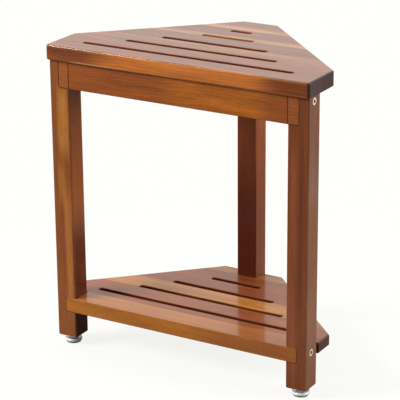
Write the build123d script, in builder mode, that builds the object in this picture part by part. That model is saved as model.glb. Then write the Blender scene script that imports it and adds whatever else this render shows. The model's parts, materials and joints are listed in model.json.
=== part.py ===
"""Corner stool for a bathroom: a slotted six-sided seat on three square legs, with a slotted shelf.

Units are millimetres. +Z is up, -Y is the long front edge and the origin lies on the floor,
under the middle of the seat's bounding box.
"""

import os

from build123d import *

os.makedirs("parts", exist_ok=True)

# Overall form
total_height = 457.0
seat_width = 416.0
seat_side = 72.0  # straight side edge, before the outline turns in at 45 degrees
seat_back_width = 56.0  # short straight edge at the back, between the two 45 degree edges
seat_thickness = 22.0
corner_radius = 4.0  # upright corners of both panels
panel_easing = 2.0  # rounded arrises of both panels

# Legs
leg_size = 32.0
leg_easing = 2.5
leg_foot_chamfer = 1.5
leg_side_inset = 2.0  # from the seat's side edge to a front leg
leg_front_inset = 5.0  # from the seat's front edge to the front legs
leg_back_inset = 12.0  # from the seat's back edge to the rear leg
foot_height = 13.0  # floor to the underside of a leg

# Front apron and the stretcher under the seat
apron_height = 40.0
apron_thickness = 24.0
stretcher_thickness = 20.0
relief_depth = 5.0  # drain reliefs in the stretcher, one under each seat slot
relief_margin = 3.0  # how much wider a relief is than its slot, on each side

# Half-lap tongues of the apron and of the shelf rail, let into the front legs
lap_length = 17.0
lap_depth = 10.0
lap_corner_radius = 3.0
lap_clearance = 0.3
shoulder_clearance = 0.2
shoulder_groove = 0.8  # depth of the vee line across the apron at each shoulder
board_easing = 0.8  # chamfered arrises of the apron, the shelf rail and the stretcher

# Shelf
shelf_height = 75.0  # floor to the shelf's top face
shelf_thickness = 16.0
shelf_back_setback = 21.0  # from the seat's back edge to the shelf's
shelf_leg_gap = 2.0  # between the front legs and the shelf panel behind them
notch_clearance = 0.5  # each side of the rear leg
rail_height = 22.0

# Drain slots
slot_width = 8.5
slot_pitch = 39.4
slot_easing = 0.8
seat_slot_first = 35.0  # from the seat's front edge to the first slot's middle
shelf_slot_first = 58.0
seat_slot_insets = (41.0, 85.1, 81.7, 85.3, 70.4)  # from the panel's side edge to each slot's end
shelf_slot_insets = (41.0, 62.1, 58.7, 62.3)
rear_margin = 5.0  # least wood between a slot or a screw and the rear leg or its bolt hole

# Connector bolts and their barrel nuts
bolt_diameter = 6.0
bolt_length = 50.0  # under the head
bolt_head_diameter = 11.4
bolt_head_height = 3.0
bolt_head_recess = 0.4
bolt_socket_flats = 5.0
bolt_socket_depth = 2.2
bolt_rim_chamfer = 0.6
bolt_edge_distance = 8.0  # from the top of a rail or panel down to the bolt
rear_bolt_edge_distance = 20.0  # the same, on the stretcher
nut_diameter = 10.0
nut_length = 10.0
nut_slot_width = 1.2
nut_slot_depth = 1.0
nut_setback = 15.0  # from the leg's face to the barrel nut's middle
hole_clearance = 0.3  # round a bolt, and round its head
fit_clearance = 0.1  # round nuts, dowels, inserts and screws

# Dowels and seat screws
dowel_diameter = 8.0
dowel_length = 25.0
leg_dowel_offset = 8.0  # from a front leg's middle back to its seat dowel
stretcher_dowel_spacing = 18.0
stretcher_dowel_edge_distance = 12.0  # from the stretcher's top down to its first dowel
leg_dowel_edge_distance = 7.0  # from the stretcher's bottom up to the rear leg's dowel
rail_dowel_spacing = 80.0
rail_dowel_count = 4
screw_diameter = 4.0
screw_length = 30.0
screw_head_diameter = 8.0
screw_head_height = 2.6
screw_point_length = 4.0
screw_cross_length = 4.0
screw_cross_width = 0.9
screw_cross_depth = 1.5
screw_bite = 12.0  # how far a screw reaches into the seat
screw_recess_diameter = 9.0
screw_spacing = 200.0  # between the two screws in the apron

# Levelling feet
foot_travel = 10.0
pad_height = 5.5
pad_base_radius = 8.75
pad_waist_radius = 9.5
pad_rim_radius = 10.8
pad_rim_height = 2.1
pad_easing = 0.5
swivel_radius = 6.0
swivel_thickness = 2.0
swivel_floor = 1.6  # metal left under the swivel
swivel_clearance = 0.1
stud_radius = 4.0
stud_engagement = 15.0  # thread left in the insert when a foot is fully out
collar_flats = 13.0
collar_gap = 0.3  # above and below the hexagon collar
insert_radius = 5.5
insert_length = 18.0
insert_flange_radius = 10.0
insert_flange_thickness = 1.5
thread_clearance = 0.05
stud_tip_room = 3.0  # free depth above the stud in the leg

# Places worked out from the sizes above
half_width = seat_width / 2
seat_depth = seat_side + half_width - seat_back_width / 2
front_y = -seat_depth / 2
back_y = seat_depth / 2
side_y = front_y + seat_side
diagonal = half_width + side_y  # x + y all along the 45 degree edge
seat_bottom = total_height - seat_thickness

leg_x = half_width - leg_side_inset - leg_size / 2
leg_inner_x = leg_x - leg_size / 2
leg_outer_x = leg_x + leg_size / 2
leg_front_y = front_y + leg_front_inset
leg_y = leg_front_y + leg_size / 2
leg_rear_y = leg_front_y + leg_size
rear_leg_y = back_y - leg_back_inset - leg_size / 2
rear_leg_front_y = rear_leg_y - leg_size / 2
rear_leg_back_y = rear_leg_y + leg_size / 2
leg_places = {
    "front_left": (-leg_x, leg_y),
    "front_right": (leg_x, leg_y),
    "rear": (0.0, rear_leg_y),
}

apron_bottom = seat_bottom - apron_height
apron_back_y = leg_front_y + apron_thickness
lap_end_x = leg_inner_x + lap_length
lap_back_y = leg_front_y + lap_depth
shoulder_x = leg_inner_x - shoulder_clearance

shelf_bottom = shelf_height - shelf_thickness
shelf_front_y = leg_rear_y + shelf_leg_gap
shelf_back_y = back_y - shelf_back_setback
rail_bottom = shelf_height - rail_height

apron_bolt_z = seat_bottom - bolt_edge_distance
shelf_bolt_z = shelf_height - bolt_edge_distance
stretcher_bolt_z = seat_bottom - rear_bolt_edge_distance
nut_x = leg_inner_x - nut_setback
nut_y = rear_leg_front_y - nut_setback
bolt_hole_radius = bolt_diameter / 2 + hole_clearance
head_hole_radius = bolt_head_diameter / 2 + hole_clearance
head_hole_depth = bolt_head_height + bolt_head_recess
nut_hole_radius = nut_diameter / 2 + fit_clearance
bolt_hole_depth = bolt_length + head_hole_depth - leg_size + hole_clearance  # past the leg
bolt_hole_end_y = rear_leg_front_y - bolt_hole_depth

dowel_hole_radius = dowel_diameter / 2 + fit_clearance
dowel_hole_depth = dowel_length / 2
stretcher_dowel_z = [
    seat_bottom - stretcher_dowel_edge_distance,
    seat_bottom - stretcher_dowel_edge_distance - stretcher_dowel_spacing,
]
leg_dowel_z = apron_bottom + leg_dowel_edge_distance
rail_dowel_x = [rail_dowel_spacing * (i - (rail_dowel_count - 1) / 2) for i in range(rail_dowel_count)]
seat_dowel_places = [
    (-leg_x, leg_y + leg_dowel_offset),
    (leg_x, leg_y + leg_dowel_offset),
    (0.0, rear_leg_y),
]

screw_hole_radius = screw_diameter / 2 + fit_clearance
screw_head_z = seat_bottom + screw_bite - screw_length
screw_apron_y = (leg_front_y + apron_back_y) / 2
apron_screw_places = [(-screw_spacing / 2, screw_apron_y), (screw_spacing / 2, screw_apron_y)]

insert_bottom = foot_height - insert_flange_thickness
collar_bottom = pad_height + collar_gap
collar_top = insert_bottom - collar_gap
stud_top = insert_bottom + foot_travel + stud_engagement
insert_hole_radius = insert_radius + fit_clearance
stud_hole_radius = stud_radius + hole_clearance
stud_hole_depth = stud_top + stud_tip_room - foot_height


def slot_rows(first, insets, limit):
    """Y of each slot's middle and its length, from the front back, as far as the limit allows."""
    rows = []
    for i, inset in enumerate(insets):
        y = front_y + first + slot_pitch * i
        edge_x = min(half_width, diagonal - y)
        if y + slot_width / 2 + rear_margin < limit:
            rows.append((y, 2 * (edge_x - inset)))
    return rows


seat_slots = slot_rows(seat_slot_first, seat_slot_insets, rear_leg_front_y)
shelf_slots = slot_rows(shelf_slot_first, shelf_slot_insets, bolt_hole_end_y)

# The stretcher's screws stand midway between slots, the last as far back as the bolt allows
screw_lands = [y + slot_pitch / 2 for y, length in seat_slots]
screw_limit_y = bolt_hole_end_y - screw_recess_diameter / 2 - rear_margin
free_lands = [y for y in screw_lands if y < screw_limit_y]
stretcher_screw_places = [(0.0, free_lands[-3]), (0.0, free_lands[-1])]


def corner_outline(front, back):
    """Corners of a panel whose sides turn in at 45 degrees along the seat's diagonal."""
    back_half_width = diagonal - back
    return [
        (-half_width, front),
        (half_width, front),
        (half_width, side_y),
        (back_half_width, back),
        (-back_half_width, back),
        (-half_width, side_y),
    ]


def add_slots(slots):
    """Draw round-ended slots across the panel in the open sketch."""
    for y, length in slots:
        with Locations((0, y)):
            SlotOverall(length, slot_width)


def save(builder, name):
    """Label a finished piece and write its file."""
    builder.part.label = name
    export_step(builder.part, f"parts/{name}.step")


# Seat: an edge-glued board with eased arrises and five routed drain slots
with BuildPart() as seat_panel:
    with BuildSketch(Plane.XY.offset(seat_bottom)) as seat_outline:
        with BuildLine():
            Polyline(*corner_outline(front_y, back_y), close=True)
        make_face()
        fillet(seat_outline.vertices(), corner_radius)
    extrude(amount=seat_thickness)
    fillet(seat_panel.faces().filter_by(Axis.Z).edges(), panel_easing)
    with BuildSketch(Plane.XY.offset(total_height)):
        add_slots(seat_slots)
    extrude(amount=-seat_thickness, mode=Mode.SUBTRACT)
    slot_rims = seat_panel.faces().sort_by(Axis.Z)[-1].inner_wires().edges()
    chamfer(slot_rims, slot_easing)
    with BuildSketch(Plane.XY.offset(seat_bottom)):
        with Locations(*seat_dowel_places):
            Circle(dowel_hole_radius)
    extrude(amount=dowel_hole_depth, mode=Mode.SUBTRACT)
    with BuildSketch(Plane.XY.offset(seat_bottom)):
        with Locations(*apron_screw_places, *stretcher_screw_places):
            Circle(screw_hole_radius)
    extrude(amount=screw_bite + fit_clearance, mode=Mode.SUBTRACT)
save(seat_panel, "seat_panel")

# Shelf: a thinner board behind the front legs, notched round the rear leg
with BuildPart() as shelf_panel:
    with BuildSketch(Plane.XY.offset(shelf_bottom)) as shelf_outline:
        with BuildLine():
            Polyline(*corner_outline(shelf_front_y, shelf_back_y), close=True)
        make_face()
        fillet(shelf_outline.vertices().group_by(Axis.Y)[1:], corner_radius)
    extrude(amount=shelf_thickness)
    side_faces = shelf_panel.faces().filter_by(Axis.Z, reverse=True).sort_by(Axis.Y)[1:]
    eased_edges = side_faces.edges() - side_faces.edges().filter_by(Axis.Z)
    fillet(eased_edges, panel_easing)
    with BuildSketch(Plane.XY.offset(shelf_height)):
        add_slots(shelf_slots)
    extrude(amount=-shelf_thickness, mode=Mode.SUBTRACT)
    slot_rims = shelf_panel.faces().sort_by(Axis.Z)[-1].inner_wires().edges()
    chamfer(slot_rims, slot_easing)
    with BuildSketch(Plane.XY.offset(shelf_bottom)):
        with Locations((0, rear_leg_front_y)):
            Rectangle(
                leg_size + 2 * notch_clearance,
                leg_size,
                align=(Align.CENTER, Align.MIN),
            )
    extrude(amount=shelf_thickness, mode=Mode.SUBTRACT)
    with BuildSketch(Plane.XZ.offset(-rear_leg_front_y)):
        with Locations((0, shelf_bolt_z)):
            Circle(bolt_hole_radius)
    extrude(amount=bolt_hole_depth, mode=Mode.SUBTRACT)
    with BuildSketch(Plane.XY.offset(shelf_bottom)):
        with Locations((0, nut_y)):
            Circle(nut_hole_radius)
    extrude(amount=shelf_bolt_z + nut_length / 2 - shelf_bottom, mode=Mode.SUBTRACT)
    with BuildSketch(Plane.XZ.offset(-shelf_front_y)):
        with Locations(*[(x, shelf_bolt_z) for x in rail_dowel_x]):
            Circle(dowel_hole_radius)
    extrude(amount=-dowel_hole_depth, mode=Mode.SUBTRACT)
save(shelf_panel, "shelf_panel")


def lap_board(bottom, top, back):
    """Board between the front legs, its front layer running on as a tongue over each leg."""
    middle = (bottom + top) / 2
    with BuildPart() as board:
        with BuildSketch(Plane.XZ.offset(-leg_front_y)):
            with Locations((0, middle)):
                RectangleRounded(2 * lap_end_x, top - bottom, lap_corner_radius)
        extrude(amount=-lap_depth)
        chamfer(board.faces().sort_by(Axis.Y)[0].edges(), board_easing)
        with BuildSketch(Plane.XZ.offset(-lap_back_y)):
            with Locations((0, middle)):
                Rectangle(2 * shoulder_x, top - bottom)
        extrude(amount=lap_back_y - back)
    return board.part


# Front apron, flush with the legs' front faces, with a vee line where each tongue starts
apron_blank = lap_board(apron_bottom, seat_bottom, apron_back_y)
with BuildPart() as front_apron:
    add(apron_blank)
    with BuildSketch(Plane.XY.offset(apron_bottom)):
        with Locations((-leg_inner_x, leg_front_y), (leg_inner_x, leg_front_y)):
            RegularPolygon(shoulder_groove, 4)
    extrude(amount=apron_height, mode=Mode.SUBTRACT)
    with BuildSketch(Plane.YZ.offset(shoulder_x)):
        with Locations((leg_y, apron_bolt_z)):
            Circle(bolt_hole_radius)
    extrude(amount=-bolt_hole_depth, mode=Mode.SUBTRACT)
    with BuildSketch(Plane.YZ.offset(-shoulder_x)):
        with Locations((leg_y, apron_bolt_z)):
            Circle(bolt_hole_radius)
    extrude(amount=bolt_hole_depth, mode=Mode.SUBTRACT)
    with BuildSketch(Plane.XZ.offset(-apron_back_y)):
        with Locations((-nut_x, apron_bolt_z), (nut_x, apron_bolt_z)):
            Circle(nut_hole_radius)
    extrude(amount=apron_back_y - leg_y + nut_length / 2, mode=Mode.SUBTRACT)
    with BuildSketch(Plane.XZ.offset(-apron_back_y)):
        with Locations(*[(0, z) for z in stretcher_dowel_z]):
            Circle(dowel_hole_radius)
    extrude(amount=dowel_hole_depth, mode=Mode.SUBTRACT)
    with BuildSketch(Plane.XY.offset(apron_bottom)):
        with Locations(*apron_screw_places):
            Circle(screw_hole_radius)
    extrude(amount=apron_height, mode=Mode.SUBTRACT)
    with BuildSketch(Plane.XY.offset(apron_bottom)):
        with Locations(*apron_screw_places):
            Circle(screw_recess_diameter / 2)
    extrude(amount=screw_head_z - apron_bottom, mode=Mode.SUBTRACT)
save(front_apron, "front_apron")

# Shelf rail, a deeper lip in front of the shelf panel
rail_blank = lap_board(rail_bottom, shelf_height, shelf_front_y)
with BuildPart() as shelf_rail:
    add(rail_blank)
    with BuildSketch(Plane.YZ.offset(shoulder_x)):
        with Locations((leg_y, shelf_bolt_z)):
            Circle(bolt_hole_radius)
    extrude(amount=-bolt_hole_depth, mode=Mode.SUBTRACT)
    with BuildSketch(Plane.YZ.offset(-shoulder_x)):
        with Locations((leg_y, shelf_bolt_z)):
            Circle(bolt_hole_radius)
    extrude(amount=bolt_hole_depth, mode=Mode.SUBTRACT)
    with BuildSketch(Plane.XY.offset(rail_bottom)):
        with Locations((-nut_x, leg_y), (nut_x, leg_y)):
            Circle(nut_hole_radius)
    extrude(amount=shelf_bolt_z + nut_length / 2 - rail_bottom, mode=Mode.SUBTRACT)
    with BuildSketch(Plane.XZ.offset(-shelf_front_y)):
        with Locations(*[(x, shelf_bolt_z) for x in rail_dowel_x]):
            Circle(dowel_hole_radius)
    extrude(amount=dowel_hole_depth, mode=Mode.SUBTRACT)
save(shelf_rail, "shelf_rail")

# Stretcher from the apron back to the rear leg, relieved under each seat slot so that it drains
with BuildPart() as centre_stretcher:
    with BuildSketch(Plane.XY.offset(apron_bottom)):
        with Locations((0, apron_back_y)):
            Rectangle(
                stretcher_thickness,
                rear_leg_front_y - apron_back_y,
                align=(Align.CENTER, Align.MIN),
            )
    extrude(amount=apron_height)
    chamfer(centre_stretcher.faces().sort_by(Axis.Z)[0].edges().filter_by(Axis.Y), board_easing)
    with BuildSketch(Plane.YZ):
        with Locations(*[(y, seat_bottom) for y, length in seat_slots]):
            SlotOverall(slot_width + 2 * relief_margin + relief_depth, 2 * relief_depth)
    extrude(amount=stretcher_thickness / 2, both=True, mode=Mode.SUBTRACT)
    with BuildSketch(Plane.XZ.offset(-rear_leg_front_y)):
        with Locations((0, stretcher_bolt_z)):
            Circle(bolt_hole_radius)
    extrude(amount=bolt_hole_depth, mode=Mode.SUBTRACT)
    with BuildSketch(Plane.YZ.offset(stretcher_thickness / 2)):
        with Locations((nut_y, stretcher_bolt_z)):
            Circle(nut_hole_radius)
    extrude(amount=-(stretcher_thickness + nut_length) / 2, mode=Mode.SUBTRACT)
    with BuildSketch(Plane.XZ.offset(-rear_leg_front_y)):
        with Locations((0, leg_dowel_z)):
            Circle(dowel_hole_radius)
    extrude(amount=dowel_hole_depth, mode=Mode.SUBTRACT)
    with BuildSketch(Plane.XZ.offset(-apron_back_y)):
        with Locations(*[(0, z) for z in stretcher_dowel_z]):
            Circle(dowel_hole_radius)
    extrude(amount=-dowel_hole_depth, mode=Mode.SUBTRACT)
    with BuildSketch(Plane.XY.offset(apron_bottom)):
        with Locations(*stretcher_screw_places):
            Circle(screw_hole_radius)
    extrude(amount=apron_height, mode=Mode.SUBTRACT)
    with BuildSketch(Plane.XY.offset(apron_bottom)):
        with Locations(*stretcher_screw_places):
            Circle(screw_recess_diameter / 2)
    extrude(amount=screw_head_z - apron_bottom, mode=Mode.SUBTRACT)
save(centre_stretcher, "centre_stretcher")


def leg_blank(place):
    """Square leg with eased arrises, bored from below for its levelling foot."""
    with BuildPart() as blank:
        with BuildSketch(Plane.XY.offset(foot_height)):
            with Locations(place):
                RectangleRounded(leg_size, leg_size, leg_easing)
        extrude(amount=seat_bottom - foot_height)
        chamfer(blank.faces().sort_by(Axis.Z)[0].edges(), leg_foot_chamfer)
        with BuildSketch(Plane.XY.offset(foot_height)):
            with Locations(place):
                Circle(insert_hole_radius)
        extrude(amount=insert_length, mode=Mode.SUBTRACT)
        with BuildSketch(Plane.XY.offset(foot_height)):
            with Locations(place):
                Circle(stud_hole_radius)
        extrude(amount=stud_hole_depth, mode=Mode.SUBTRACT)
    return blank.part


# Front right leg: two routed pockets for the tongues, two bolts from the outer side
right_leg_blank = leg_blank(leg_places["front_right"])
with BuildPart() as leg_front_right:
    add(right_leg_blank)
    for pocket_bottom, pocket_top in (
        (apron_bottom, seat_bottom + apron_height),
        (rail_bottom, shelf_height),
    ):
        with BuildSketch(Plane.XZ.offset(-leg_front_y)):
            with Locations((leg_inner_x, (pocket_bottom + pocket_top) / 2)):
                RectangleRounded(
                    2 * (lap_length + lap_clearance),
                    pocket_top - pocket_bottom + 2 * lap_clearance,
                    lap_corner_radius + lap_clearance,
                )
        extrude(amount=-lap_depth - lap_clearance, mode=Mode.SUBTRACT)
    with BuildSketch(Plane.YZ.offset(leg_outer_x)):
        with Locations((leg_y, apron_bolt_z), (leg_y, shelf_bolt_z)):
            Circle(bolt_hole_radius)
    extrude(amount=-leg_size, mode=Mode.SUBTRACT)
    with BuildSketch(Plane.YZ.offset(leg_outer_x)):
        with Locations((leg_y, apron_bolt_z), (leg_y, shelf_bolt_z)):
            Circle(head_hole_radius)
    extrude(amount=-head_hole_depth, mode=Mode.SUBTRACT)
    with BuildSketch(Plane.XY.offset(seat_bottom)):
        with Locations(seat_dowel_places[1]):
            Circle(dowel_hole_radius)
    extrude(amount=-dowel_hole_depth, mode=Mode.SUBTRACT)
save(leg_front_right, "leg_front_right")

with BuildPart() as leg_front_left:
    mirror(leg_front_right.part, about=Plane.YZ)
save(leg_front_left, "leg_front_left")

# Rear leg, bolted from behind into the stretcher's end and the shelf's notch
rear_leg_blank = leg_blank(leg_places["rear"])
with BuildPart() as leg_rear:
    add(rear_leg_blank)
    with BuildSketch(Plane.XZ.offset(-rear_leg_back_y)):
        with Locations((0, stretcher_bolt_z), (0, shelf_bolt_z)):
            Circle(bolt_hole_radius)
    extrude(amount=leg_size, mode=Mode.SUBTRACT)
    with BuildSketch(Plane.XZ.offset(-rear_leg_back_y)):
        with Locations((0, stretcher_bolt_z), (0, shelf_bolt_z)):
            Circle(head_hole_radius)
    extrude(amount=head_hole_depth, mode=Mode.SUBTRACT)
    with BuildSketch(Plane.XZ.offset(-rear_leg_front_y)):
        with Locations((0, leg_dowel_z)):
            Circle(dowel_hole_radius)
    extrude(amount=-dowel_hole_depth, mode=Mode.SUBTRACT)
    with BuildSketch(Plane.XY.offset(seat_bottom)):
        with Locations(seat_dowel_places[2]):
            Circle(dowel_hole_radius)
    extrude(amount=-dowel_hole_depth, mode=Mode.SUBTRACT)
save(leg_rear, "leg_rear")

# One connector bolt along +Z, its head's underside at the origin
with BuildPart() as bolt:
    Cylinder(bolt_diameter / 2, bolt_length, align=(Align.CENTER, Align.CENTER, Align.MAX))
    Cylinder(bolt_head_diameter / 2, bolt_head_height, align=(Align.CENTER, Align.CENTER, Align.MIN))
    chamfer(bolt.faces().sort_by(Axis.Z)[-1].edges(), bolt_rim_chamfer)
    with BuildSketch(Plane.XY.offset(bolt_head_height)):
        RegularPolygon(bolt_socket_flats / 2, 6, major_radius=False)
    extrude(amount=-bolt_socket_depth, mode=Mode.SUBTRACT)

# Heads face outwards: two on each front leg's side, two on the back of the rear leg
bolt_seat_x = leg_outer_x - head_hole_depth
bolt_seat_y = rear_leg_back_y - head_hole_depth
bolt_planes = [
    Plane(origin=(side * bolt_seat_x, leg_y, z), x_dir=(0, 1, 0), z_dir=(side, 0, 0))
    for side in (-1, 1)
    for z in (apron_bolt_z, shelf_bolt_z)
] + [
    Plane(origin=(0, bolt_seat_y, z), x_dir=(1, 0, 0), z_dir=(0, 1, 0))
    for z in (stretcher_bolt_z, shelf_bolt_z)
]
with BuildPart() as frame_bolts:
    with Locations(*bolt_planes):
        add(bolt.part)
save(frame_bolts, "frame_bolts")

# One barrel nut along Z, cross-drilled along X for its bolt, with a screwdriver slot on top
with BuildPart() as nut:
    Cylinder(nut_diameter / 2, nut_length)
    Cylinder(bolt_diameter / 2 + fit_clearance, nut_diameter, rotation=(0, 90, 0), mode=Mode.SUBTRACT)
    with BuildSketch(Plane.XY.offset(nut_length / 2)):
        Rectangle(nut_diameter, nut_slot_width)
    extrude(amount=-nut_slot_depth, mode=Mode.SUBTRACT)

# Each nut's slot faces the open end of its hole: backwards, downwards or to the right
nut_planes = [
    Plane(origin=(side * nut_x, leg_y, apron_bolt_z), x_dir=(1, 0, 0), z_dir=(0, 1, 0)) for side in (-1, 1)
] + [
    Plane(origin=(side * nut_x, leg_y, shelf_bolt_z), x_dir=(1, 0, 0), z_dir=(0, 0, -1)) for side in (-1, 1)
] + [
    Plane(origin=(0, nut_y, stretcher_bolt_z), x_dir=(0, 1, 0), z_dir=(1, 0, 0)),
    Plane(origin=(0, nut_y, shelf_bolt_z), x_dir=(0, 1, 0), z_dir=(0, 0, -1)),
]
with BuildPart() as barrel_nuts:
    with Locations(*nut_planes):
        add(nut.part)
save(barrel_nuts, "barrel_nuts")

# One dowel along Z, half in each of the two pieces that it joins
with BuildPart() as dowel:
    Cylinder(dowel_diameter / 2, dowel_length - 2 * fit_clearance)

dowel_planes = (
    [Plane(origin=(*place, seat_bottom)) for place in seat_dowel_places]
    + [Plane(origin=(0, apron_back_y, z), z_dir=(0, 1, 0)) for z in stretcher_dowel_z]
    + [Plane(origin=(0, rear_leg_front_y, leg_dowel_z), z_dir=(0, 1, 0))]
    + [Plane(origin=(x, shelf_front_y, shelf_bolt_z), z_dir=(0, 1, 0)) for x in rail_dowel_x]
)
with BuildPart() as dowels:
    with Locations(*dowel_planes):
        add(dowel.part)
save(dowels, "dowels")

# One flat-head screw along +Z, its head's bearing face at the origin, with a cross recess
with BuildPart() as screw:
    Cylinder(screw_head_diameter / 2, screw_head_height, align=(Align.CENTER, Align.CENTER, Align.MAX))
    with BuildSketch(Plane.XY.offset(-screw_head_height)):
        Rectangle(screw_cross_length, screw_cross_width)
        Rectangle(screw_cross_width, screw_cross_length)
    extrude(amount=screw_cross_depth, mode=Mode.SUBTRACT)
    Cylinder(
        screw_diameter / 2,
        screw_length - screw_point_length,
        align=(Align.CENTER, Align.CENTER, Align.MIN),
    )
    with Locations((0, 0, screw_length - screw_point_length)):
        Cone(screw_diameter / 2, 0, screw_point_length, align=(Align.CENTER, Align.CENTER, Align.MIN))

# Seat screws, driven up through the apron and the stretcher
with BuildPart() as seat_screws:
    with Locations(*[(*place, screw_head_z) for place in apron_screw_places + stretcher_screw_places]):
        add(screw.part)
save(seat_screws, "seat_screws")

# Levelling foot, modelled under the origin and set under each leg
with BuildPart() as insert:
    with BuildSketch(Plane.XZ):
        with BuildLine():
            Polyline(
                (stud_radius + thread_clearance, insert_bottom),
                (insert_flange_radius, insert_bottom),
                (insert_flange_radius, foot_height),
                (insert_radius, foot_height),
                (insert_radius, foot_height + insert_length),
                (stud_radius + thread_clearance, foot_height + insert_length),
                close=True,
            )
        make_face()
    revolve(axis=Axis.Z)

swivel_top = swivel_floor + swivel_clearance + swivel_thickness
with BuildPart() as stud:
    with Locations((0, 0, swivel_floor + swivel_clearance)):
        Cylinder(swivel_radius, swivel_thickness, align=(Align.CENTER, Align.CENTER, Align.MIN))
        Cylinder(
            stud_radius,
            stud_top - swivel_floor - swivel_clearance,
            align=(Align.CENTER, Align.CENTER, Align.MIN),
        )
    with BuildSketch(Plane.XY.offset(collar_bottom)):
        RegularPolygon(collar_flats / 2, 6, major_radius=False)
    extrude(amount=collar_top - collar_bottom)

pad_rim_bottom = pad_height - pad_rim_height
with BuildPart() as pad:
    with BuildSketch(Plane.XZ) as pad_profile:
        with BuildLine():
            Polyline(
                (0, 0),
                (pad_base_radius, 0),
                (pad_waist_radius, pad_rim_bottom),
                (pad_rim_radius, pad_rim_bottom),
                (pad_rim_radius, pad_height),
                (stud_radius + swivel_clearance, pad_height),
                (stud_radius + swivel_clearance, swivel_top + swivel_clearance),
                (swivel_radius + swivel_clearance, swivel_top + swivel_clearance),
                (swivel_radius + swivel_clearance, swivel_floor),
                (0, swivel_floor),
                close=True,
            )
        make_face()
        chamfer(pad_profile.vertices().group_by(Axis.X)[-1], pad_easing)
    revolve(axis=Axis.Z)

for place_name, place in leg_places.items():
    for piece_name, piece in (("insert", insert), ("stud", stud), ("pad", pad)):
        with BuildPart() as placed:
            with Locations(place):
                add(piece.part)
        save(placed, f"foot_{piece_name}_{place_name}")
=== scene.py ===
import json
import math
from collections import namedtuple

import bmesh
import bpy
from mathutils import Matrix, Vector


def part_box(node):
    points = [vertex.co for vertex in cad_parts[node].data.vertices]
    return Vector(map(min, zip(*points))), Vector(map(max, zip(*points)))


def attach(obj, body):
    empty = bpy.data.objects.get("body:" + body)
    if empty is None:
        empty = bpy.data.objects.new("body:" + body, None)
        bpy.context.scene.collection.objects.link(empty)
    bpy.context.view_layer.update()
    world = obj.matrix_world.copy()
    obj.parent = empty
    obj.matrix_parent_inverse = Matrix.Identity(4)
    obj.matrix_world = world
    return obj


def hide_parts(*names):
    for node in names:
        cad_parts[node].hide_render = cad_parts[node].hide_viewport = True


bl_info = {
    "name": "Bathroom Corner Stool",
    "version": (1, 0, 0),
    "blender": (4, 5, 0),
    "location": "View3D > Sidebar > Stool",
    "description": "Wood, fixings, levelling feet and studio of a slotted corner stool",
    "category": "Object",
}

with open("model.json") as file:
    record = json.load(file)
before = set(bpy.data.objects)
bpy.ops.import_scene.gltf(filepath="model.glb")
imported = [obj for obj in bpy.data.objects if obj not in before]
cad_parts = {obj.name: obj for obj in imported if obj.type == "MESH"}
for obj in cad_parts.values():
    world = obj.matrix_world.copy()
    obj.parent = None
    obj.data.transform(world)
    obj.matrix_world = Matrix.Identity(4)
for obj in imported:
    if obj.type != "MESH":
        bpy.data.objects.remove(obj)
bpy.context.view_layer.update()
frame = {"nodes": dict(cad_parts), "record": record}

MM = 0.001
FEET = ("front_left", "front_right", "rear")
OPENINGS = {opening["name"]: opening for opening in frame["record"]["physics"]["openings"]}

# Between these lie most values of a noise texture
NOISE_SPAN = (0.3, 0.7)

# A board's place in its tree, in mm: how far apart two boards lie, and where the pith is
BOARD_SPREAD = (900.0, 110.0, 110.0)
PITH_OFFSET = (0.0, 30.0, -130.0)

# Half the width of board that the staves' ramp covers, in mm
STAVE_REACH = 150.0

# Wood patterns in cycles a mm, along the grain and both ways across it
WANDER_RATE = (0.0042, 0.016, 0.016)
STREAK_RATE = (0.006, 0.075, 0.075)
FIBRE_RATE = (0.02, 0.55, 0.55)
PORE_RATE = (0.16, 2.1, 2.1)

# How dark a growth ring is at places across it, from early wood to late wood
RING_STOPS = ((0.0, 0.25), (0.3, 0.0), (0.72, 0.45), (0.92, 1.0), (1.0, 0.25))

# Noise values over which a pore opens, and how squarely a face cuts the grain to be end grain
PORE_SPAN = (0.6, 0.7)
END_GRAIN_SPAN = (0.5, 0.95)

# How far each part of the figure changes the wood's tone, and the colour it multiplies in
STREAK_SWING = 0.3
FIBRE_SWING = 0.08
RING_COVER = 0.3
PORE_COVER = 0.35
END_GRAIN_COVER = 0.45
RING_COLOUR = "#9A6450"
PORE_COLOUR = "#6B3A28"
END_GRAIN_COLOUR = "#8A5A48"

# Relief of the wood under its film and of the film itself: strength, and depth in metres
WOOD_RELIEF = (0.5, 0.03 * MM)
FILM_RELIEF = (0.35, 0.02 * MM)
PORE_DEPTH = -0.8
WOOD_IOR = 1.45
WOOD_SPECULAR = 0.2
FILM_IOR = 1.5

# Tool marks on metal: their relief, and how far they swing its roughness and its colour
METAL_RELIEF = (0.2, 0.02 * MM)
METAL_ROUGHNESS_SWING = (0.7, 1.4)
METAL_TINT_SWING = (0.92, 1.04)
# Painted shade: the dark colour laid over a bolt head inside its socket, and how far in from the head's
# face it begins
SOCKET_SHADE_COLOUR = "#2E1C10"
SOCKET_RIM_DEPTH = 0.65 * MM

# Colour that a material has in a viewport without shading
VIEWPORT_BROWN = (0.5, 0.3, 0.2, 1)

# Added to half of a slot's opening box, in mm, it reaches the walls but not the board's top
SLOT_WALL_REACH = (3.0, 0.9, -2.8)
SLOT_WALL_SOFTNESS = (1.0, 0.2, 0.3)
SLOT_WALL_COVER = 0.85

# Points in a ring round a stud, and in one round a pad or the floor
STUD_FACETS = 48
ROUND_FACETS = 64

# Softboxes: name, place and size in metres, power in watts, all aimed at the middle of the stool
LAMPS = (
    ("key_softbox", (-2.2, -1.9, 1.9), 1.3, 135.0),
    ("side_softbox", (2.1, 0.4, 1.1), 1.2, 40.0),
    ("low_card", (1.06, 0.9, 0.15), 0.7, 0.5),
)
LAMP_AIM = (0, 0, 0.25)

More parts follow.
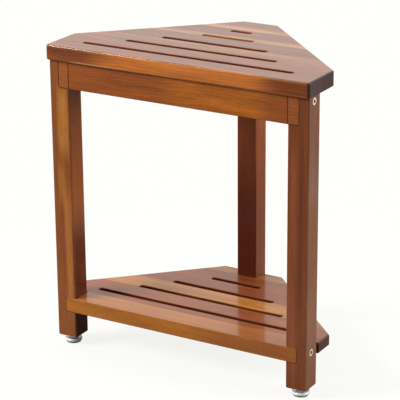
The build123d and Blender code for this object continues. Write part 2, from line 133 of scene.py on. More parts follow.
# The floor's rings and fade as parts of its radius, and how far it is lifted to white
FLOOR_RINGS = (0.4, 0.7, 1)
FLOOR_FADE = (0.6, 0.97)
FLOOR_LIFT = 0.85
FLOOR_SEEN = "#F4F2EE"
FLOOR_BOUNCE = "#8C8A88"
STUDIO_WHITE = "#FFFFFC"

# The backdrop's direction, the cosines between which it fades, and the room's light beside it
BACKDROP_DIRECTION = (-0.25, 0.75, 0.61)
BACKDROP_SPAN = (0.5, 0.9)
ROOM_LEVEL = 0.2

# Width of the camera's sensor, in mm
SENSOR_WIDTH = 36


def linear(hex_colour):
    """Turn an sRGB hex colour into linear RGB."""
    channels = [int(hex_colour[i : i + 2], 16) / 255 for i in (1, 3, 5)]
    return tuple(c / 12.92 if c <= 0.04045 else ((c + 0.055) / 1.055) ** 2.4 for c in channels)


def add_node(tree, kind, settings=None, inputs=None):
    """Add a node, set its properties, and link or set each named or numbered input."""
    node = tree.nodes.new(kind)
    for key, value in (settings or {}).items():
        setattr(node, key, value)
    for key, value in (inputs or {}).items():
        if isinstance(value, bpy.types.NodeSocket):
            tree.links.new(value, node.inputs[key])
        elif isinstance(value, tuple) and len(value) == 3 and node.inputs[key].type == "RGBA":
            node.inputs[key].default_value = (*value, 1)
        else:
            node.inputs[key].default_value = value
    return node


def maths(tree, operation, *inputs):
    """Do one sum on numbers."""
    node = add_node(tree, "ShaderNodeMath", {"operation": operation}, dict(enumerate(inputs)))
    return node.outputs[0]


def vector_maths(tree, operation, *inputs):
    """Do one sum on vectors, which gives a number where it is a length or a dot product."""
    node = add_node(tree, "ShaderNodeVectorMath", {"operation": operation}, dict(enumerate(inputs)))
    return node.outputs["Value" if operation in {"LENGTH", "DOT_PRODUCT"} else "Vector"]


def scale(tree, vector, factor):
    """Scale a vector or a colour by a number."""
    node = add_node(
        tree, "ShaderNodeVectorMath", {"operation": "SCALE"}, {0: vector, "Scale": factor}
    )
    return node.outputs[0]


def map_range(tree, value, span, to=(0.0, 1.0), interpolation="LINEAR"):
    """Map a number from one span to another, clamped at both ends."""
    inputs = {"Value": value, "From Min": span[0], "From Max": span[1], "To Min": to[0], "To Max": to[1]}
    node = add_node(tree, "ShaderNodeMapRange", {"interpolation_type": interpolation}, inputs)
    return node.outputs[0]


def mix(tree, cover, under, over, blend="MIX"):
    """Cover one colour by another."""
    node = add_node(
        tree, "ShaderNodeMix", {"data_type": "RGBA", "blend_type": blend}, {0: cover, 6: under, 7: over}
    )
    return node.outputs[2]


def noise(tree, vector, detail, roughness=0.5, rate=1.0):
    """Add a noise texture and return its outputs."""
    inputs = {"Vector": vector, "Scale": rate, "Detail": detail, "Roughness": roughness}
    return add_node(tree, "ShaderNodeTexNoise", {}, inputs).outputs


def bump(tree, height, relief):
    """Turn a height into a normal, for a relief of strength and depth."""
    strength, depth = relief
    inputs = {"Strength": strength, "Distance": depth, "Height": height}
    return add_node(tree, "ShaderNodeBump", {}, inputs).outputs[0]


def fill_ramp(ramp, stops, interpolation="LINEAR"):
    """Set a colour ramp's stops from (position, colour, alpha) rows."""
    ramp.interpolation = interpolation
    while len(ramp.elements) > 1:
        ramp.elements.remove(ramp.elements[0])
    for i, (position, colour, alpha) in enumerate(stops):
        element = ramp.elements[0] if i == 0 else ramp.elements.new(position)
        element.position = position
        element.color = (*colour, alpha)


def start_material(name):
    """Make an empty node material and return it with its tree."""
    material = bpy.data.materials.new(name)
    material.use_nodes = True
    material.node_tree.nodes.clear()
    return material, material.node_tree


def finish_material(material, shader):
    """Link a shader to the material's output."""
    add_node(material.node_tree, "ShaderNodeOutputMaterial", {}, {"Surface": shader})
    material.diffuse_color = VIEWPORT_BROWN
    return material


def dress(node_name, material):
    """Give a frame node one material on all of its slots."""
    piece = frame["nodes"][node_name]
    if not piece.material_slots:
        piece.data.materials.append(None)
    for material_slot in piece.material_slots:
        material_slot.link = "OBJECT"
        material_slot.material = material


# A stretch of paler or darker wood, also used for painted light and shade: its middle and half size in
# mm, how softly it ends along each axis, its colour, how far it covers, and whether it drifts with the
# grain or keeps its place
Patch = namedtuple("Patch", "middle half softness colour cover drifts", defaults=(1.0, True))

# How far a patch that drifts bends with the grain, in mm
PATCH_DRIFT = (14.0, 14.0, 14.0)


def lay_patch(tree, colour, point, patch):
    """Lay one patch over a colour, where the point in mm is inside it."""
    offset = vector_maths(tree, "SUBTRACT", point, patch.middle)
    distance = vector_maths(tree, "ABSOLUTE", offset)
    outer = tuple(h + s for h, s in zip(patch.half, patch.softness))
    inner = tuple(max(h - s, 0.0) for h, s in zip(patch.half, patch.softness))
    inside = add_node(
        tree,
        "ShaderNodeMapRange",
        {"data_type": "FLOAT_VECTOR", "interpolation_type": "SMOOTHSTEP"},
        {6: distance, 7: outer, 8: inner},
    ).outputs["Vector"]
    parts = add_node(tree, "ShaderNodeSeparateXYZ", {}, {0: inside}).outputs
    mask = maths(tree, "MULTIPLY", parts[0], parts[1])
    mask = maths(tree, "MULTIPLY", mask, parts[2])
    mask = maths(tree, "MULTIPLY", mask, patch.cover)
    return mix(tree, mask, colour, linear(patch.colour))


def make_wood(name, grain, tone, seed=0.0, patches=(), figure=1.0, film_cover=1.0):
    """Lacquered hardwood cut from round growth rings that run along the grain axis.

    The tone is one colour, or a board's staves as rows of start in mm, colour and seed.
    """
    wood = bpy.context.scene.stool_wood
    material, tree = start_material(name)
    place = add_node(tree, "ShaderNodeTexCoord").outputs["Object"]
    point = scale(tree, place, 1 / MM)
    axes = add_node(tree, "ShaderNodeSeparateXYZ", {}, {0: point}).outputs
    along, across, thick = (axes[i] for i in {"X": (0, 1, 2), "Y": (1, 0, 2), "Z": (2, 0, 1)}[grain])

    if isinstance(tone, str):
        colour = linear(tone)
    else:
        # A constant ramp across the board gives each stave its tone, and its seed in the alpha
        place_across = map_range(tree, across, (-STAVE_REACH, STAVE_REACH))
        stave_ramp = add_node(tree, "ShaderNodeValToRGB", {}, {0: place_across})
        stops = [
            ((start + STAVE_REACH) / (2 * STAVE_REACH), linear(stave_colour), stave_seed)
            for start, stave_colour, stave_seed in tone
        ]
        fill_ramp(stave_ramp.color_ramp, stops, "CONSTANT")
        colour = stave_ramp.outputs["Color"]
        seed = stave_ramp.outputs["Alpha"]
    shift = add_node(
        tree, "ShaderNodeTexWhiteNoise", {"noise_dimensions": "1D"}, {"W": seed}
    ).outputs["Color"]
    board = add_node(tree, "ShaderNodeCombineXYZ", {}, {0: along, 1: across, 2: thick}).outputs[0]
    board = vector_maths(tree, "MULTIPLY_ADD", shift, BOARD_SPREAD, board)

    # The rings wander slowly along the tree and faster across it
    slow = vector_maths(tree, "MULTIPLY", board, WANDER_RATE)
    wander = noise(tree, slow, 3.0)["Color"]
    wander = vector_maths(tree, "SUBTRACT", wander, (0.5, 0.5, 0.5))
    bend = wood.wander / MM
    bent = vector_maths(tree, "MULTIPLY_ADD", wander, (0.0, bend, bend), board)
    from_pith = vector_maths(tree, "MULTIPLY_ADD", bent, (0.0, 1.0, 1.0), PITH_OFFSET)
    radius = vector_maths(tree, "LENGTH", from_pith)
    rings = maths(tree, "DIVIDE", radius, wood.ring_spacing / MM)
    ring_ramp = add_node(tree, "ShaderNodeValToRGB", {}, {0: maths(tree, "FRACT", rings)})
    fill_ramp(ring_ramp.color_ramp, [(position, (dark,) * 3, 1) for position, dark in RING_STOPS])
    late_wood = ring_ramp.outputs["Color"]

    # Broad streaks of mineral colour, a few rings wide and long along the grain
    streak = noise(tree, vector_maths(tree, "MULTIPLY", bent, STREAK_RATE), 4.0, 0.55)["Fac"]

    # Fibres, from two millimetres wide down to hairs
    fibre = noise(tree, vector_maths(tree, "MULTIPLY", bent, FIBRE_RATE), 5.0, 0.65)["Fac"]

    # Open pores: short dark dashes under half a millimetre wide
    pores = noise(tree, vector_maths(tree, "MULTIPLY", board, PORE_RATE), 1.0)["Fac"]
    pores = map_range(tree, pores, PORE_SPAN, interpolation="SMOOTHSTEP")

    drifted = vector_maths(tree, "MULTIPLY_ADD", wander, PATCH_DRIFT, point)
    for patch in patches:
        colour = lay_patch(tree, colour, drifted if patch.drifts else point, patch)

    # Late wood, broad streaks, fibres and pores darken the tone towards red brown
    swing = STREAK_SWING * figure
    colour = scale(tree, colour, map_range(tree, streak, NOISE_SPAN, (1 + swing, 1 - swing)))
    ring_cover = maths(tree, "MULTIPLY", late_wood, RING_COVER * figure * wood.ring_contrast)
    colour = mix(tree, ring_cover, colour, linear(RING_COLOUR), "MULTIPLY")
    fibre_tint = map_range(tree, fibre, NOISE_SPAN, (1 + FIBRE_SWING, 1 - FIBRE_SWING))
    colour = scale(tree, colour, fibre_tint)
    pore_cover = maths(tree, "MULTIPLY", pores, PORE_COVER)
    colour = mix(tree, pore_cover, colour, linear(PORE_COLOUR), "MULTIPLY")

    # End grain drinks more lacquer and goes darker
    facing = add_node(tree, "ShaderNodeTexCoord").outputs["Normal"]
    end_axis = tuple(float(axis == grain) for axis in "XYZ")
    end_grain = maths(tree, "ABSOLUTE", vector_maths(tree, "DOT_PRODUCT", facing, end_axis))
    end_grain = map_range(tree, end_grain, END_GRAIN_SPAN, (0.0, END_GRAIN_COVER), "SMOOTHSTEP")
    colour = mix(tree, end_grain, colour, linear(END_GRAIN_COLOUR), "MULTIPLY")

    # Sanded, then sprayed: the pores and fibres barely show through the lacquer
    grain_height = maths(tree, "MULTIPLY_ADD", pores, PORE_DEPTH, fibre)
    shader = add_node(
        tree,
        "ShaderNodeBsdfPrincipled",
        {},
        {
            "Base Color": colour,
            "Roughness": wood.wood_roughness,
            "IOR": WOOD_IOR,
            "Specular IOR Level": WOOD_SPECULAR,
            "Coat Weight": wood.lacquer * film_cover,
            "Coat Roughness": wood.lacquer_roughness,
            "Coat IOR": FILM_IOR,
            "Normal": bump(tree, grain_height, WOOD_RELIEF),
            "Coat Normal": bump(tree, fibre, FILM_RELIEF),
        },
    ).outputs[0]
    return finish_material(material, shader)


def make_metal(name, colour, roughness, grit, metallic=1.0, socket_edge=None):
    """Plated steel or brass with faint turning marks and a roughness that varies with them.

    The grit is the size of the marks in mm. Where socket_edge is given, metal keeps its colour
    only beyond its x on either side or beyond its y at the back, and elsewhere is painted dark as socket
    shade.
    """
    material, tree = start_material(name)
    place = add_node(tree, "ShaderNodeTexCoord").outputs["Object"]
    marks = noise(tree, place, 3.0, rate=1 / (grit * MM))["Fac"]
    least, most = METAL_ROUGHNESS_SWING
    rough = map_range(tree, marks, (0.0, 1.0), (roughness * least, roughness * most))
    shade = scale(tree, linear(colour), map_range(tree, marks, NOISE_SPAN, METAL_TINT_SWING))
    if socket_edge:
        axes = add_node(tree, "ShaderNodeSeparateXYZ", {}, {0: place}).outputs
        outward = maths(tree, "ABSOLUTE", axes[0])
        on_side = maths(tree, "GREATER_THAN", outward, socket_edge[0])
        on_back = maths(tree, "GREATER_THAN", axes[1], socket_edge[1])
        proud = maths(tree, "MAXIMUM", on_side, on_back)
        # Painted shade: the socket, and all of the head except its outer face, is coloured dark
        shade = mix(tree, proud, linear(SOCKET_SHADE_COLOUR), shade)
    relief = bump(tree, marks, METAL_RELIEF)
    shader = add_node(
        tree,
        "ShaderNodeBsdfPrincipled",
        {},
        {"Base Color": shade, "Metallic": metallic, "Roughness": rough, "Normal": relief},
    ).outputs[0]
    return finish_material(material, shader)


class StoolWoodSettings(bpy.types.PropertyGroup):
    ring_spacing: bpy.props.FloatProperty(
        name="Ring spacing", description="Width of one growth ring", default=4.2 * MM, unit="LENGTH"
    )
    ring_contrast: bpy.props.FloatProperty(
        name="Ring contrast", description="How dark the late wood is", default=1.0, subtype="FACTOR"
    )
    wander: bpy.props.FloatProperty(
        name="Wander", description="How far the rings bend aside", default=34 * MM, unit="LENGTH"
    )
    wood_roughness: bpy.props.FloatProperty(
        name="Wood roughness", description="Sanded wood under the film", default=0.42, subtype="FACTOR"
    )
    lacquer: bpy.props.FloatProperty(
        name="Lacquer", description="How fully the clear film covers", default=0.8, subtype="FACTOR"
    )
    lacquer_roughness: bpy.props.FloatProperty(
        name="Lacquer roughness", description="Satin film, sprayed", default=0.1, subtype="FACTOR"
    )


class StoolFixingSettings(bpy.types.PropertyGroup):
    thread_pitch: bpy.props.FloatProperty(
        name="Thread pitch", description="Rise of one turn", default=1.25 * MM, unit="LENGTH"
    )
    thread_radius: bpy.props.FloatProperty(
        name="Thread radius", description="Outer radius of the stud", default=4 * MM, unit="LENGTH"
    )
    thread_depth: bpy.props.FloatProperty(
        name="Thread depth", description="Crest to root", default=0.7 * MM, unit="LENGTH"
    )
    pad_rim_radius: bpy.props.FloatProperty(
        name="Pad rim radius", description="Widest part of a foot", default=12.8 * MM, unit="LENGTH"
    )
    pad_base_radius: bpy.props.FloatProperty(
        name="Pad base radius", description="Part on the floor", default=11.0 * MM, unit="LENGTH"
    )


class StoolStageSettings(bpy.types.PropertyGroup):
    camera_place: bpy.props.FloatVectorProperty(
        name="Camera place",
        description="Where the lens stands",
        default=(1.2623, -2.2023, 1.1179),
        subtype="TRANSLATION",
        unit="LENGTH",
    )
    camera_yaw: bpy.props.FloatProperty(
        name="Yaw",
        description="Turn about the upright axis",
        default=math.radians(30.441),
        unit="ROTATION",
    )
    camera_pitch: bpy.props.FloatProperty(
        name="Pitch", description="Tilt below level", default=math.radians(19.435), unit="ROTATION"
    )
    camera_roll: bpy.props.FloatProperty(
        name="Roll",
        description="Turn about the view axis",
        default=math.radians(-0.443),
        unit="ROTATION",
    )
    lens: bpy.props.FloatProperty(
        name="Lens", description="Focal length in mm on a 36 mm sensor", default=167.35
    )
    floor_radius: bpy.props.FloatProperty(
        name="Floor radius", description="The floor fades out here", default=0.62, unit="LENGTH"
    )


def slot_walls(board, shades):
    """Shade the routed walls of a board's slots, front to back, where little light gets in."""
    walls = []
    for i, shade in enumerate(shades, 1):
        low, high = (Vector(corner) / MM for corner in OPENINGS[f"{board}_slot_{i}"]["box_m"])
        middle = (low + high) / 2
        half = (high - low) / 2 + Vector(SLOT_WALL_REACH)
        walls.append(
            Patch(tuple(middle), tuple(half), SLOT_WALL_SOFTNESS, shade, SLOT_WALL_COVER, False)
        )
    return tuple(walls)


class STOOL_OT_finish_seat(bpy.types.Operator):
    """Give the seat its edge-glued staves"""

    bl_idname = "stool.finish_seat"
    bl_label = "Finish seat"

    def execute(self, context):
        # Staves from different boards: two pale bands among the red brown ones
        staves = (
            (-150, "#8E4A1C", 0.13),
            (-71, "#925022", 0.29),
            (-40, "#9E5E2C", 0.43),
            (-18, "#884A22", 0.57),
            (24, "#C08048", 0.71),
            (39, "#8A4A20", 0.83),
            (77, "#C2844C", 0.91),
            (92, "#8E4E26", 0.97),
        )
        # The front edge goes from dark to golden and back; the right end is painted dark as shade over
        # its end grain, and painted highlights run along the front's top arris and its lower arris at
        # the left
        patches = (
            Patch((-170, -126, 446), (60, 3, 10), (38, 1, 1), "#824320", 0.85),
            Patch((10, -126, 446), (130, 3, 10), (40, 1, 1), "#CC762E", 0.9),
            Patch((185, -126, 446), (38, 3, 10), (26, 1, 1), "#733710", 0.85),
            # Painted highlight: a pale streak along the front's lower arris at the left
            Patch((-128, -126, 436), (38, 3, 2), (14, 1, 1), "#C88A58", 0.8),
            # Painted shade: the right end is coloured near black brown on top of its end-grain darkening
            Patch((208, -90, 446), (3, 40, 12), (1, 2, 1), "#441F0A", 0.95, False),
            # Painted highlight: a thin pale line along the whole front top arris
            Patch((0, -125, 456), (204, 2, 2), (4, 1, 1), "#C08A5C", 0.25, False),
        ) + slot_walls("seat", ("#44190A", "#44190A", "#4E200E", "#A0602E", "#6E3A1E"))
        wood = make_wood("Acacia seat, edge glued, satin lacquer", "X", staves, patches=patches)
        dress("seat_panel", wood)
        return {"FINISHED"}


class STOOL_OT_finish_shelf(bpy.types.Operator):
    """Give the shelf its edge-glued staves"""

    bl_idname = "stool.finish_shelf"
    bl_label = "Finish shelf"

    def execute(self, context):
        # A golden stave in the middle and another at the back, between red brown ones
        staves = (
            (-150, "#8F4819", 0.17),
            (-33, "#B06E28", 0.37),
            (7, "#8D4618", 0.53),
            (82, "#AA6A28", 0.77),
            (99, "#8B4418", 0.89),
        )
        patches = slot_walls("shelf", ("#4A1A05",) * 4) + (
            Patch((208, -72, 67), (3, 34, 10), (1, 4, 1), "#582C14", 0.95, False),
        )
        name = "Acacia shelf, edge glued, satin lacquer"
        dress("shelf_panel", make_wood(name, "X", staves, patches=patches, film_cover=0.85))
        return {"FINISHED"}


class STOOL_OT_finish_rails(bpy.types.Operator):
    """Give the apron, the shelf rail and the stretcher their wood"""

    bl_idname = "stool.finish_rails"
    bl_label = "Finish rails"

    def execute(self, context):
        # The apron turns golden right of its middle, and its lapped ends are a touch redder
        apron_patches = (
            Patch((65, -121, 415), (75, 30, 60), (30, 10, 10), "#B16216", 0.9),
            Patch((156, -121, 415), (16, 30, 60), (8, 10, 10), "#964F18", 0.85),
            Patch((184, -121, 415), (10, 30, 60), (1, 10, 10), "#9A5424", 0.95, False),
            Patch((-184, -121, 415), (10, 30, 60), (1, 10, 10), "#9A5626", 0.95, False),
        )
        apron = make_wood("Acacia apron, planed, satin lacquer", "X", "#964E1B", 0.61, apron_patches)
        dress("front_apron", apron)
        rail_patches = (Patch((130, -121, 64), (80, 30, 30), (50, 10, 10), "#9A571E", 0.85),)
        rail_name = "Acacia shelf rail, planed, satin lacquer"
        rail = make_wood(rail_name, "X", "#B0681D", 0.67, rail_patches, figure=0.5)
        dress("shelf_rail", rail)
        stretcher = make_wood("Acacia stretcher, planed, satin lacquer", "Y", "#8A4A28", 0.73)
        dress("centre_stretcher", stretcher)
        return {"FINISHED"}


class STOOL_OT_finish_legs(bpy.types.Operator):
    """Give each leg its own stick of wood"""

    bl_idname = "stool.finish_legs"
    bl_label = "Finish legs"

    def execute(self, context):
        figure = 0.45
        # Pale sapwood runs down the left leg's front; its inner face is painted as light and shade,
        # paler higher up and dark towards the floor
        left = (
            Patch((-185, -121, 347), (8, 4, 47), (3, 2, 20), "#B0712F", 0.95),
            Patch((-190, -121, 250), (6, 4, 30), (3, 2, 20), "#B0712F", 0.6),
            Patch((-180, -121, 150), (7, 4, 90), (3, 2, 30), "#B66E32", 0.7),
            # Painted shade: the inner face goes dark red brown towards the floor
            Patch((-174, -105, 80), (2, 16, 110), (1, 4, 50), "#5A1C04", 0.9, False),
            # Painted light: the inner face is paler higher up
            Patch((-174, -105, 300), (2, 16, 100), (1, 4, 40), "#AA5C22", 0.95, False),
        )
        # The right leg is darker, with streaks down its front; its outer side is painted pale as a sheen
        # of reflected light, with painted shadow at its top under the seat
        right = (
            Patch((183, -121, 200), (5, 4, 160), (3, 2, 40), "#9A5030", 0.6),
            Patch((196, -121, 260), (3, 4, 120), (2, 2, 40), "#5E2C18", 0.6),
            # Painted sheen: the outer side is coloured pale pinkish grey brown for reflected light
            Patch((206, -105, 220), (2, 17, 215), (1, 1, 20), "#8A5A3C", 0.9, False),
            # Painted shadow: the top of the outer side is darker under the seat
            Patch((206, -105, 400), (2, 17, 70), (1, 1, 50), "#76401F", 0.9, False),
        )
        # The rear leg goes dark red towards the shelf
        rear = (
            Patch((0, 82, 130), (20, 2, 130), (1, 1, 90), "#521703", 0.92, False),
            Patch((16, 98, 130), (2, 14, 130), (1, 1, 90), "#764028", 0.8, False),
        )
        for node_name, side, tone, seed, patches, film_cover in (
            ("leg_front_left", "left", "#8B4D20", 0.31, left, 0.8),
            ("leg_front_right", "right", "#7C3F1A", 0.47, right, 0.9),
            ("leg_rear", "rear", "#995026", 0.79, rear, 0.45),
        ):
            name = f"Acacia {side} leg, planed, satin lacquer"
            dress(node_name, make_wood(name, "Z", tone, seed, patches, figure, film_cover))
        return {"FINISHED"}


class STOOL_OT_finish_fixings(bpy.types.Operator):
    """Give the bolts, barrel nuts, screws, inserts and dowels their finishes"""

    bl_idname = "stool.finish_fixings"
    bl_label = "Finish fixings"

    def execute(self, context):
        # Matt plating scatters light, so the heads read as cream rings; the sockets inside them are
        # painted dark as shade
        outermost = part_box("frame_bolts")[1]
        socket_edge = (outermost.x - SOCKET_RIM_DEPTH, outermost.y - SOCKET_RIM_DEPTH)
        brass = make_metal("Brass plated steel, tumbled matt", "#FFF2D6", 0.45, 0.8, 0.5, socket_edge)
        dress("frame_bolts", brass)
        # Turned zinc is grey with a soft sheen
        zinc = make_metal("Zinc plated steel, turned", "#B9BABB", 0.35, 0.6)
        for node_name in ("barrel_nuts", "seat_screws"):
            dress(node_name, zinc)
        for place in FEET:
            dress(f"foot_insert_{place}", zinc)
        # Beech is pale and plain beside the acacia
        beech = make_wood("Beech dowel, fluted and glued", "Z", "#C9A06A", 0.15, figure=0.3)
        dress("dowels", beech)
        return {"FINISHED"}


def add_ring(mesh, middle, radius, height, count):
    """Add one level ring of points to a mesh."""
    angles = [math.tau * i / count for i in range(count)]
    return [
        mesh.verts.new(middle + Vector((radius * math.cos(a), radius * math.sin(a), height)))
        for a in angles
    ]


def bridge(mesh, lower, upper):
    """Skin the band between two rings with the same number of points."""
    count = len(lower)
    for i in range(count):
        j = (i + 1) % count
        mesh.faces.new((lower[i], lower[j], upper[j], upper[i]))


def add_piece(name, mesh, crease_degrees=None):
    """Turn a finished bmesh into an object, smooth except at sharp edges where a crease is given."""
    data = bpy.data.meshes.new(name)
    mesh.to_mesh(data)
    mesh.free()
    if crease_degrees:
        for face in data.polygons:
            face.use_smooth = True
        data.set_sharp_from_angle(angle=math.radians(crease_degrees))
    piece = bpy.data.objects.new(name, data)
    bpy.context.scene.collection.objects.link(piece)
    return piece


def make_stud(name, node_name, metal):
    """Threaded stud with its hexagon collar and its swivel disc, in place of the plain solid."""
    fixing = bpy.context.scene.stool_fixing
    low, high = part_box(node_name)
    middle = Vector(((low.x + high.x) / 2, (low.y + high.y) / 2, 0))
    mesh = bmesh.new()

    # Disc, neck and hexagon collar: radius, height and whether it is a hexagon, bottom up
    neck = fixing.thread_radius - fixing.thread_depth
    disc_radius = 6.0 * MM
    disc_bevel = 0.3 * MM
    disc_top = low.z + 2.0 * MM
    flats = 6.5 * MM
    flats_end = flats * 0.97
    collar_low = 5.8 * MM
    collar_high = 11.2 * MM
    collar_bevel = 0.5 * MM
    sections = (
        (disc_radius - disc_bevel, low.z, False),
        (disc_radius, low.z + disc_bevel, False),
        (disc_radius, disc_top - disc_bevel, False),
        (disc_radius - disc_bevel, disc_top, False),
        (neck, disc_top, False),
        (neck, collar_low, False),
        (flats_end, collar_low, False),
        (flats, collar_low + collar_bevel, True),
        (flats, collar_high - collar_bevel, True),
        (flats_end, collar_high, False),
    )
    corner_limit = 1.12
    below = None
    for radius, height, hexagon in sections:
        ring = add_ring(mesh, middle, radius, height, STUD_FACETS)
        if hexagon:
            for point in ring:
                angle = math.atan2(point.co.y - middle.y, point.co.x - middle.x)
                within = (angle + math.tau / 12) % (math.tau / 6) - math.tau / 12
                reach = min(radius / math.cos(within), radius * corner_limit)
                point.co.x = middle.x + reach * math.cos(angle)
                point.co.y = middle.y + reach * math.sin(angle)
        if below:
            bridge(mesh, below, ring)
        else:
            mesh.faces.new(list(reversed(ring)))
        below = ring

    # Thread: the radius follows a helix, with flattened crests and roots
    levels_per_turn = 10
    flank_slope = 1.7
    root_flat = 0.35
    turns = (high.z - collar_high) / fixing.thread_pitch
    for level in range(int(turns * levels_per_turn) + 1):
        height = collar_high + level * fixing.thread_pitch / levels_per_turn
        ring = add_ring(mesh, middle, neck, height, STUD_FACETS)
        run_out = min(1.0, (high.z - height) / fixing.thread_pitch)
        for i, point in enumerate(ring):
            turn = (level / levels_per_turn - i / STUD_FACETS) % 1.0
            crest = min(max(flank_slope * (1 - abs(2 * turn - 1)) - root_flat, 0.0), 1.0)
            radius = neck + fixing.thread_depth * crest * run_out
            angle = math.tau * i / STUD_FACETS
            point.co.x = middle.x + radius * math.cos(angle)
            point.co.y = middle.y + radius * math.sin(angle)
        bridge(mesh, below, ring)
        below = ring
    mesh.faces.new(below)

    piece = add_piece(name, mesh, 32)
    piece.data.materials.append(metal)
    return piece


def make_pad(name, node_name, metal, base_metal):
    """Two-tier turned pad, a wide bright rim over a grey base, bored for the stud's swivel disc."""
    low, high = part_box(node_name)
    middle = Vector(((low.x + high.x) / 2, (low.y + high.y) / 2, low.z))
    fixing = bpy.context.scene.stool_fixing
    rim = fixing.pad_rim_radius
    base = fixing.pad_base_radius
    groove = 2.8 * MM
    mouth_radius, mouth_height = 8.6 * MM, 5.5 * MM
    neck_bore = 4.1 * MM
    chamber_radius, chamber_floor, chamber_roof = 6.1 * MM, 1.6 * MM, 3.8 * MM
    # Radius and height along the turned outline, from the floor up, over the rim and down the bore
    profile = (
        (base - 0.6 * MM, 0),
        (base - 0.15 * MM, 0.15 * MM),
        (base, 0.6 * MM),
        (base + 0.2 * MM, 2.3 * MM),
        (base, groove),
        (rim - 0.8 * MM, groove + 0.2 * MM),
        (rim - 0.2 * MM, groove + 0.5 * MM),
        (rim, groove + 1.1 * MM),
        (rim, groove + 2.9 * MM),
        (rim - 0.25 * MM, groove + 3.5 * MM),
        (rim - 0.9 * MM, groove + 3.9 * MM),
        (mouth_radius, mouth_height),
        (neck_bore, mouth_height),
        (neck_bore, chamber_roof),
        (chamber_radius, chamber_roof),
        (chamber_radius, chamber_floor),
    )
    mesh = bmesh.new()
    rings = [add_ring(mesh, middle, radius, height, ROUND_FACETS) for radius, height in profile]
    mesh.faces.new(list(reversed(rings[0])))
    for below, above in zip(rings, rings[1:]):
        bridge(mesh, below, above)
    mesh.faces.new(rings[-1])
    for face in mesh.faces:
        face.material_index = int(face.calc_center_median().z - low.z < groove)

    piece = add_piece(name, mesh, 40)
    piece.data.materials.append(metal)
    piece.data.materials.append(base_metal)
    return piece


class STOOL_OT_finish_feet(bpy.types.Operator):
    """Cut real threads on the studs and turn the pads of the levelling feet"""

    bl_idname = "stool.finish_feet"
    bl_label = "Finish feet"

    def execute(self, context):
        # Rolled threads shine, a blasted rim scatters light to pale silver, and its base is grey
        zinc = make_metal("Zinc plated steel, rolled thread", "#B4B4B2", 0.3, 0.5)
        nickel = make_metal("Nickel plated steel, bead blasted", "#FCFCFF", 0.5, 0.7, 0.45)
        grey = make_metal("Zinc plated steel, matt", "#A8ABAF", 0.5, 0.7, 0.5)
        for place in FEET:
            stud = make_stud(f"threaded_stud_{place}", f"foot_stud_{place}", zinc)
            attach(stud, f"stud_{place}")
            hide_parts(f"foot_stud_{place}")
            pad = make_pad(f"turned_pad_{place}", f"foot_pad_{place}", nickel, grey)
            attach(pad, f"pad_{place}")
            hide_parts(f"foot_pad_{place}")
        return {"FINISHED"}


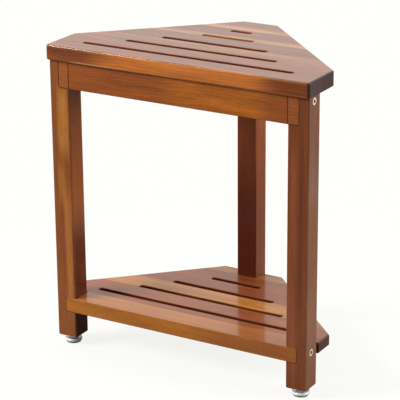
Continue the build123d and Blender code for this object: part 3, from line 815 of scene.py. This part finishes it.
class STOOL_OT_set_stage(bpy.types.Operator):
    """Set the floor, the lamps, the surroundings and the camera"""

    bl_idname = "stool.set_stage"
    bl_label = "Set stage"

    def execute(self, context):
        scene = context.scene
        stage = scene.stool_stage
        scene.view_settings.view_transform = "Standard"
        self.add_floor(stage)
        self.add_lamps(scene)
        self.set_world(scene)
        self.add_camera(scene, stage)
        return {"FINISHED"}

    def add_floor(self, stage):
        mesh = bmesh.new()
        middle = Vector((0, 0, 0))
        rings = [add_ring(mesh, middle, stage.floor_radius * r, 0, ROUND_FACETS) for r in FLOOR_RINGS]
        mesh.faces.new(rings[0])
        bridge(mesh, rings[0], rings[1])
        bridge(mesh, rings[1], rings[2])
        floor = add_piece("studio_floor", mesh)

        # Pale card: white to the camera with a faint shadow, grey to bounced light, faded at its rim
        material, tree = start_material("Pale card, matt")
        place = add_node(tree, "ShaderNodeTexCoord").outputs["Object"]
        away = vector_maths(tree, "LENGTH", place)
        fade = tuple(stage.floor_radius * part for part in FLOOR_FADE)
        rim = map_range(tree, away, fade, interpolation="SMOOTHSTEP")
        seen = add_node(tree, "ShaderNodeLightPath").outputs["Is Camera Ray"]
        tint = mix(tree, seen, linear(FLOOR_BOUNCE), linear(FLOOR_SEEN))
        card = add_node(tree, "ShaderNodeBsdfDiffuse", {}, {"Color": tint}).outputs[0]
        glow = add_node(
            tree, "ShaderNodeEmission", {}, {"Color": linear(STUDIO_WHITE), "Strength": 1.0}
        ).outputs[0]
        lift = maths(tree, "MULTIPLY", seen, FLOOR_LIFT)
        white = add_node(tree, "ShaderNodeMixShader", {}, {0: lift, 1: card, 2: glow}).outputs[0]
        clear = add_node(tree, "ShaderNodeBsdfTransparent").outputs[0]
        shader = add_node(tree, "ShaderNodeMixShader", {}, {0: rim, 1: white, 2: clear}).outputs[0]
        floor.data.materials.append(finish_material(material, shader))

    def add_lamps(self, scene):
        for name, place, size, power in LAMPS:
            data = bpy.data.lights.new(name, "AREA")
            data.size = size
            data.energy = power
            lamp = bpy.data.objects.new(name, data)
            lamp.location = place
            aim = Vector(LAMP_AIM) - Vector(place)
            lamp.rotation_euler = aim.to_track_quat("-Z", "Y").to_euler()
            scene.collection.objects.link(lamp)

    def set_world(self, scene):
        world = bpy.data.worlds.new("Studio surroundings")
        scene.world = world
        world.use_nodes = True
        tree = world.node_tree
        tree.nodes.clear()
        # White backdrop behind and above, dim room in front
        direction = add_node(tree, "ShaderNodeTexCoord").outputs["Generated"]
        towards = vector_maths(tree, "DOT_PRODUCT", direction, BACKDROP_DIRECTION)
        backdrop = map_range(tree, towards, BACKDROP_SPAN, interpolation="SMOOTHSTEP")
        level = map_range(tree, backdrop, (0.0, 1.0), (ROOM_LEVEL, 1.0))
        room = add_node(
            tree, "ShaderNodeBackground", {}, {"Color": linear("#FFFFFF"), "Strength": level}
        ).outputs[0]
        white = add_node(
            tree, "ShaderNodeBackground", {}, {"Color": linear(STUDIO_WHITE), "Strength": 1.0}
        ).outputs[0]
        # The camera and clear things see white all round, gloss sees it where the backdrop is
        rays = add_node(tree, "ShaderNodeLightPath").outputs
        gloss = maths(tree, "MULTIPLY", rays["Is Glossy Ray"], backdrop)
        direct = maths(tree, "MAXIMUM", rays["Is Camera Ray"], rays["Is Transmission Ray"])
        seen = maths(tree, "MAXIMUM", direct, gloss)
        mixed = add_node(tree, "ShaderNodeMixShader", {}, {0: seen, 1: room, 2: white}).outputs[0]
        add_node(tree, "ShaderNodeOutputWorld", {}, {"Surface": mixed})

    def add_camera(self, scene, stage):
        yaw, pitch, roll = stage.camera_yaw, stage.camera_pitch, stage.camera_roll
        level_reach = math.cos(pitch)
        ahead = Vector((-math.sin(yaw) * level_reach, math.cos(yaw) * level_reach, -math.sin(pitch)))
        right = Vector((math.cos(yaw), math.sin(yaw), 0))
        up = right.cross(ahead)
        right_rolled = right * math.cos(roll) + up * math.sin(roll)
        up_rolled = up * math.cos(roll) - right * math.sin(roll)
        turned = Matrix((right_rolled, up_rolled, -ahead)).transposed()
        data = bpy.data.cameras.new("studio_camera")
        data.sensor_width = SENSOR_WIDTH
        data.lens = stage.lens
        camera = bpy.data.objects.new("studio_camera", data)
        camera.matrix_world = Matrix.Translation(Vector(stage.camera_place)) @ turned.to_4x4()
        scene.collection.objects.link(camera)
        scene.camera = camera


class STOOL_PT_panel(bpy.types.Panel):
    bl_label = "Bathroom Corner Stool"
    bl_idname = "STOOL_PT_panel"
    bl_space_type = "VIEW_3D"
    bl_region_type = "UI"
    bl_category = "Stool"

    def draw(self, context):
        layout = self.layout
        scene = context.scene
        for settings in (scene.stool_wood, scene.stool_fixing, scene.stool_stage):
            box = layout.box()
            for key in settings.bl_rna.properties.keys():
                if key not in {"rna_type", "name"}:
                    box.prop(settings, key)
        for operator in OPERATORS:
            layout.operator(operator.bl_idname)


OPERATORS = (
    STOOL_OT_set_stage,
    STOOL_OT_finish_seat,
    STOOL_OT_finish_shelf,
    STOOL_OT_finish_rails,
    STOOL_OT_finish_legs,
    STOOL_OT_finish_fixings,
    STOOL_OT_finish_feet,
)
CLASSES = (StoolWoodSettings, StoolFixingSettings, StoolStageSettings, *OPERATORS, STOOL_PT_panel)


def register():
    for cls in CLASSES:
        bpy.utils.register_class(cls)
    bpy.types.Scene.stool_wood = bpy.props.PointerProperty(type=StoolWoodSettings)
    bpy.types.Scene.stool_fixing = bpy.props.PointerProperty(type=StoolFixingSettings)
    bpy.types.Scene.stool_stage = bpy.props.PointerProperty(type=StoolStageSettings)


def unregister():
    del bpy.types.Scene.stool_stage
    del bpy.types.Scene.stool_fixing
    del bpy.types.Scene.stool_wood
    for cls in reversed(CLASSES):
        bpy.utils.unregister_class(cls)


def main():
    register()
    bpy.ops.stool.set_stage()
    bpy.ops.stool.finish_seat()
    bpy.ops.stool.finish_shelf()
    bpy.ops.stool.finish_rails()
    bpy.ops.stool.finish_legs()
    bpy.ops.stool.finish_fixings()
    bpy.ops.stool.finish_feet()


if __name__ == "__main__":
    main()
